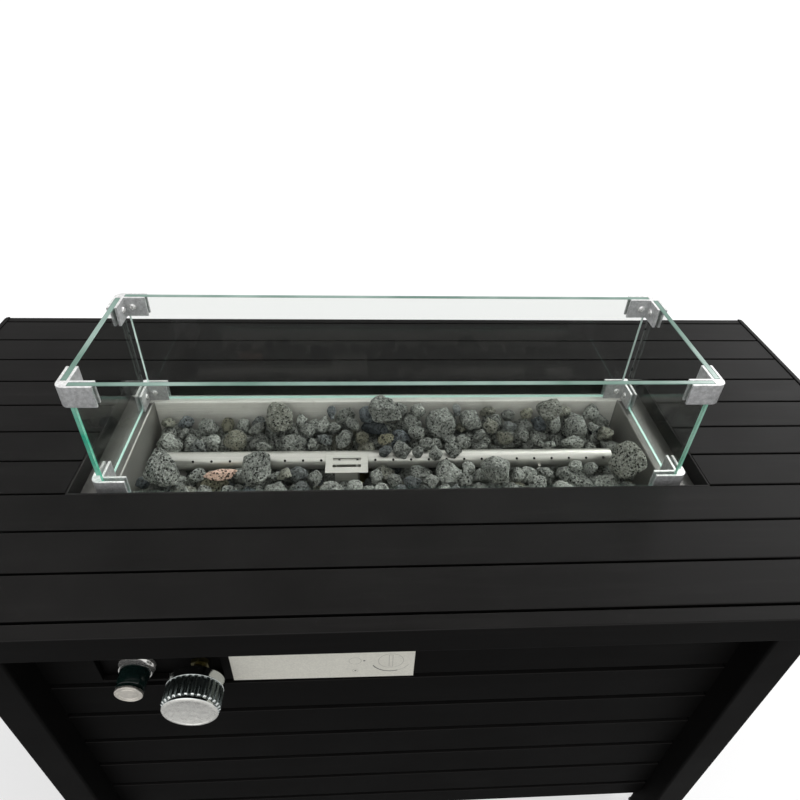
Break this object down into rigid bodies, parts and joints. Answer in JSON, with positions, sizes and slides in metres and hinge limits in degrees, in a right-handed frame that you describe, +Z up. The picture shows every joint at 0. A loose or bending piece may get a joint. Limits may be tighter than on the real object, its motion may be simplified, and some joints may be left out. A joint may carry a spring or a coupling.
{
  "type": "fire pit table",
  "caption": "Rectangular slatted patio table with a sunken gas burner, lava rock, a glass wind guard and a slatted base with gas controls and a tank door.",
  "frame": {"origin": "on the floor, under the middle of the tabletop", "axes": "+X along the table's length to the right as seen from the controls, +Y to the back, +Z up"},
  "size_m": [1.27, 0.5965, 0.7636],
  "materials": {
    "brown_black_paint": "powder coat, fine texture",
    "black_paint": "powder coat, matte",
    "stainless": "brushed",
    "steel": "zinc plated",
    "aluminium": "brushed",
    "clear_glass": "tempered, clear",
    "lava_rock": "porous stone",
    "chrome": "polished",
    "brass": "turned",
    "black_plastic": "glossy",
    "matte_black_plastic": "matte",
    "white_ceramic": "glazed ceramic",
    "label_sheet": "blank printed sheet",
    "copper": "copper capillary"
  },
  "bodies": {
    "table": {"front_planks": "brown_black_paint", "back_planks": "brown_black_paint", "left_planks": "brown_black_paint", "right_planks": "brown_black_paint", "front_rim": "brown_black_paint", "back_rim": "brown_black_paint", "side_rims": "brown_black_paint", "front_slats": "brown_black_paint", "control_slat": "brown_black_paint", "back_slats": "brown_black_paint", "left_slats": "brown_black_paint", "legs": "brown_black_paint", "cross_bearers": "black_paint", "short_bearers": "black_paint", "opening_frame": "black_paint", "upper_rails": "black_paint", "lower_rails": "black_paint", "slat_battens": "black_paint", "bottom_shelf": "black_paint", "tank_ring": "black_paint", "control_plate": "black_paint", "frame_hinge_leaves": "black_paint", "fire_pan": "stainless", "burner_tube": "stainless", "burner_end_caps": "stainless", "burner_saddles": "stainless", "pilot_cover": "stainless", "hinge_pins": "stainless", "gas_hose": "stainless", "thermocouple": "stainless", "base_bolts": "steel", "door_catch": "steel", "igniter_bezel": "steel", "lava_rocks": "lava_rock", "valve_body": "brass", "panel_nuts": "brass", "gas_inlet": "brass", "gas_riser": "brass", "riser_lock_nuts": "brass", "igniter_body": "black_plastic", "leg_glides": "matte_black_plastic", "ignition_lead": "matte_black_plastic", "spark_electrode": "white_ceramic", "label_plate": "label_sheet", "thermocouple_lead": "copper"},
    "wind_guard": {"front_glass": "clear_glass", "back_glass": "clear_glass", "side_glasses": "clear_glass", "top_corner_clips": "aluminium", "bottom_corner_clips": "aluminium", "clip_screws": "steel"},
    "access_door": {"door_slats": "brown_black_paint", "door_battens": "black_paint", "door_hinge_leaves": "black_paint", "door_pull": "aluminium"},
    "stem": {"valve_stem": "stainless"},
    "knob": {"control_knob": "chrome"},
    "igniter": {"igniter_button": "black_plastic", "igniter_cap": "stainless"}
  },
  "joints": [
    {"name": "wind_guard_lift", "type": "slide", "parent": "table", "child": "wind_guard", "axis": [0, 0, 1], "range_m": [0, 0.2]},
    {"name": "access_door_swing", "type": "hinge", "parent": "table", "child": "access_door", "pos_m": [0.4185, 0.2355, 0.3], "axis": [0, 0, 1], "range_deg": [0, 95]},
    {"name": "stem_push", "type": "slide", "parent": "table", "child": "stem", "axis": [0, 1, 0], "range_m": [0, 0.003], "stiffness_N_per_m": 1500, "springref_m": -0.002},
    {"name": "knob_turn", "type": "hinge", "parent": "stem", "child": "knob", "pos_m": [-0.2283, -0.28, 0.4795], "axis": [0, -1, 0], "range_deg": [0, 180]},
    {"name": "igniter_push", "type": "slide", "parent": "table", "child": "igniter", "axis": [0, 1, 0], "range_m": [0, 0.004], "stiffness_N_per_m": 1500, "springref_m": -0.002}
  ]
}
